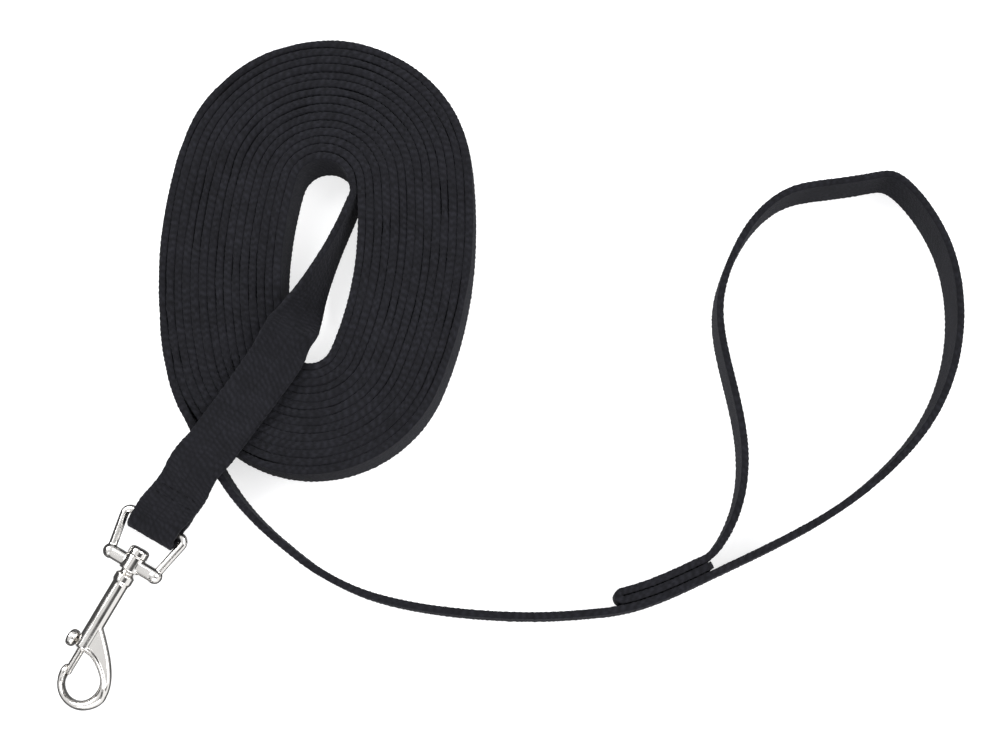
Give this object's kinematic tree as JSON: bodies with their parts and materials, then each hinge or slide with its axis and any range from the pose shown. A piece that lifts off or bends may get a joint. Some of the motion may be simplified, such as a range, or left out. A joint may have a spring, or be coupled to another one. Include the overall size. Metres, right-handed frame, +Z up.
{
  "type": "training leash",
  "caption": "Long flat webbing dog training leash, coiled on edge, with a sewn hand loop and a swivel bolt snap that clips to a collar ring.",
  "frame": {"origin": "middle of the coil's open centre, on the surface that the coil stands on", "axes": "+Z up, along the coil's axis; +X from the coil towards the hand loop; +Y along the oval coil's length, away from the snap"},
  "size_m": [0.2672, 0.2034, 0.0254],
  "materials": {
    "webbing": "woven, matte",
    "thread": "matte",
    "nickel": "bright nickel plate",
    "spring_steel": "bright drawn wire"
  },
  "bodies": {
    "coil": {"web_coil": "webbing", "web_snap_run": "webbing"},
    "snap_strap": {"web_snap_end": "webbing", "snap_end_stitching": "thread"},
    "eye": {"swivel_eye": "nickel"},
    "snap": {"snap_body": "nickel", "swivel_rivet": "nickel", "latch_spring": "spring_steel"},
    "latch": {"latch_bolt": "nickel", "thumb_knob": "nickel"},
    "lead": {"web_lead_run": "webbing"},
    "handle": {"web_handle": "webbing", "handle_stitching": "thread"}
  },
  "joints": [
    {"name": "strap_lift", "type": "hinge", "parent": "coil", "child": "snap_strap", "pos_m": [-0.03118, -0.06166, 0.0172], "axis": [-0.8704, 0.4924, 0], "range_deg": [0, 75]},
    {"name": "eye_pivot", "type": "hinge", "parent": "snap_strap", "child": "eye", "pos_m": [-0.0475, -0.08, 0.0039], "axis": [-0.8704, 0.4924, 0], "range_deg": [0, 100]},
    {"name": "snap_swivel", "type": "hinge", "parent": "eye", "child": "snap", "pos_m": [-0.05735, -0.0974, 0.00338], "axis": [-0.4923, -0.8701, -0.0262], "continuous": true},
    {"name": "latch_slide", "type": "slide", "parent": "snap", "child": "latch", "axis": [0.4923, 0.8701, 0.0262], "range_m": [0, 0.007], "stiffness_N_per_m": 150, "springref_m": -0.006, "deforming": ["latch_spring"]},
    {"name": "lead_bend", "type": "hinge", "parent": "coil", "child": "lead", "pos_m": [0.004, -0.0959, 0.00795], "axis": [0, 0, 1], "range_deg": [-40, 12]},
    {"name": "handle_bend", "type": "hinge", "parent": "lead", "child": "handle", "pos_m": [0.08, -0.1074, 0.00795], "axis": [0, 0, 1], "range_deg": [-45, 20]}
  ]
}
